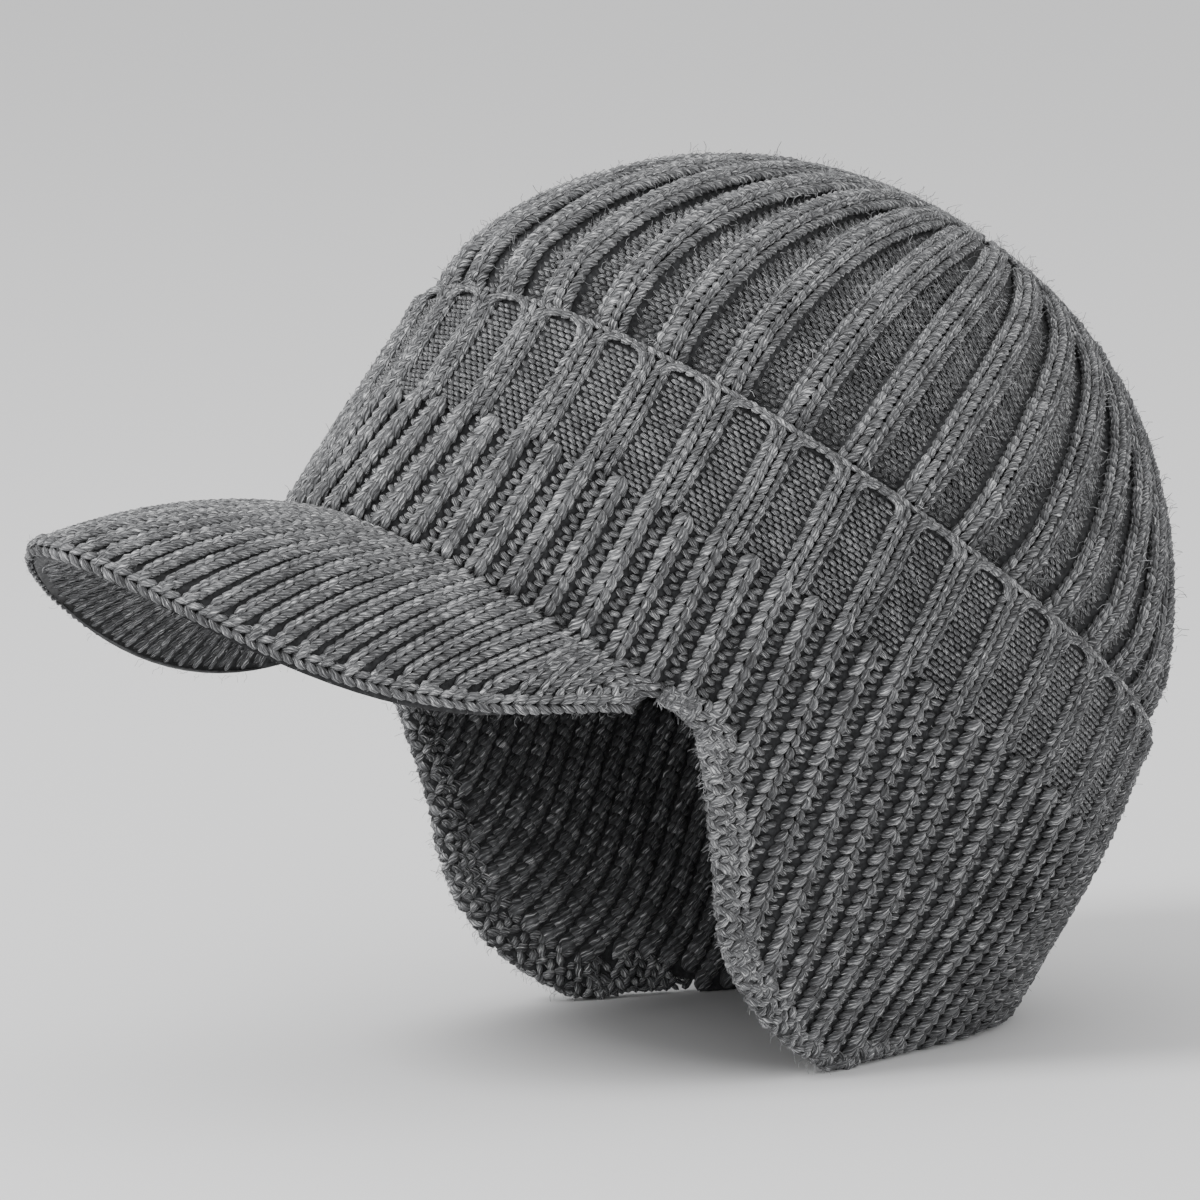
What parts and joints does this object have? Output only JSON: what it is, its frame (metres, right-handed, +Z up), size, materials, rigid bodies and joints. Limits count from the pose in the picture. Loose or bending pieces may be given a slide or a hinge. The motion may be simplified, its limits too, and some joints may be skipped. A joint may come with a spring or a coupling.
{
  "type": "knit cap",
  "caption": "Chunky ribbed knit cap with a padded knitted peak, a turned-up window band and ear flaps that run round the nape",
  "frame": {"origin": "on the floor that the cap stands on, under the middle of its bounding box", "axes": "+Z up; the peak points along -Y and the nape lies towards +Y; +X is the wearer's left"},
  "size_m": [0.18, 0.2972, 0.2074],
  "materials": {
    "crown_knit": "charcoal melange wool, chunky double rib, fuzzy and matte",
    "band_knit": "charcoal melange wool, double ribs with flat purl windows, matte",
    "cuff_knit": "charcoal melange wool, narrow single rib, matte",
    "peak_knit": "charcoal melange wool stocking stitch over a soft padded core, matte",
    "edging_knit": "charcoal melange wool, knobbly garter selvedge, matte"
  },
  "bodies": {
    "root": {"crown": "crown_knit", "window_band": "band_knit", "ear_flap_cuff": "cuff_knit", "peak": "peak_knit", "flap_edging_left": "edging_knit", "flap_edging_right": "edging_knit"}
  },
  "joints": []
}
